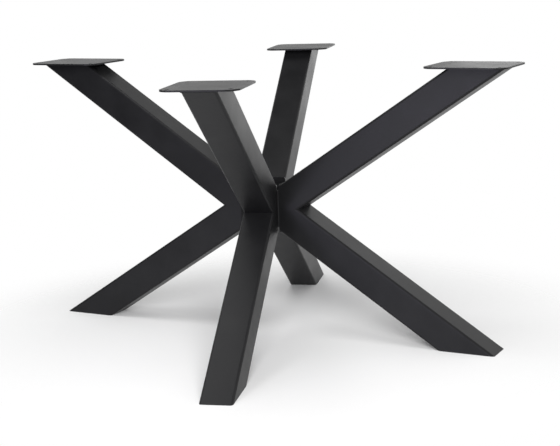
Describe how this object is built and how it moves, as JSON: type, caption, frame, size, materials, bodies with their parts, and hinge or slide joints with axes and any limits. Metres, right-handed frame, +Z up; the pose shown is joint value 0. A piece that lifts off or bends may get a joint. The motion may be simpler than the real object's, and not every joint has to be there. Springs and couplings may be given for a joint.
{
  "type": "table base",
  "caption": "Crossed steel table base: sideways V legs of square tube bolted round a short central hub, with drilled plates on top.",
  "frame": {"origin": "on the floor, straight under the middle of the hub", "axes": "+X along the long side of the table, +Y along its short side, +Z up"},
  "size_m": [1.1676, 0.9354, 0.71],
  "materials": {
    "steel": "satin powder coat",
    "zinc": "bright zinc plate"
  },
  "bodies": {
    "root": {"upper_arm_back_right": "steel", "lower_leg_back_right": "steel", "top_plate_back_right": "steel", "foot_plate_back_right": "steel", "end_plate_back_right": "steel", "plate_washer_back_right": "zinc", "upper_arm_back_left": "steel", "lower_leg_back_left": "steel", "top_plate_back_left": "steel", "foot_plate_back_left": "steel", "end_plate_back_left": "steel", "plate_washer_back_left": "zinc", "upper_arm_front_left": "steel", "lower_leg_front_left": "steel", "top_plate_front_left": "steel", "foot_plate_front_left": "steel", "end_plate_front_left": "steel", "plate_washer_front_left": "zinc", "upper_arm_front_right": "steel", "lower_leg_front_right": "steel", "top_plate_front_right": "steel", "foot_plate_front_right": "steel", "end_plate_front_right": "steel", "plate_washer_front_right": "zinc", "hub_bolts": "zinc", "weld_nuts": "zinc", "hub": "steel"}
  },
  "joints": []
}
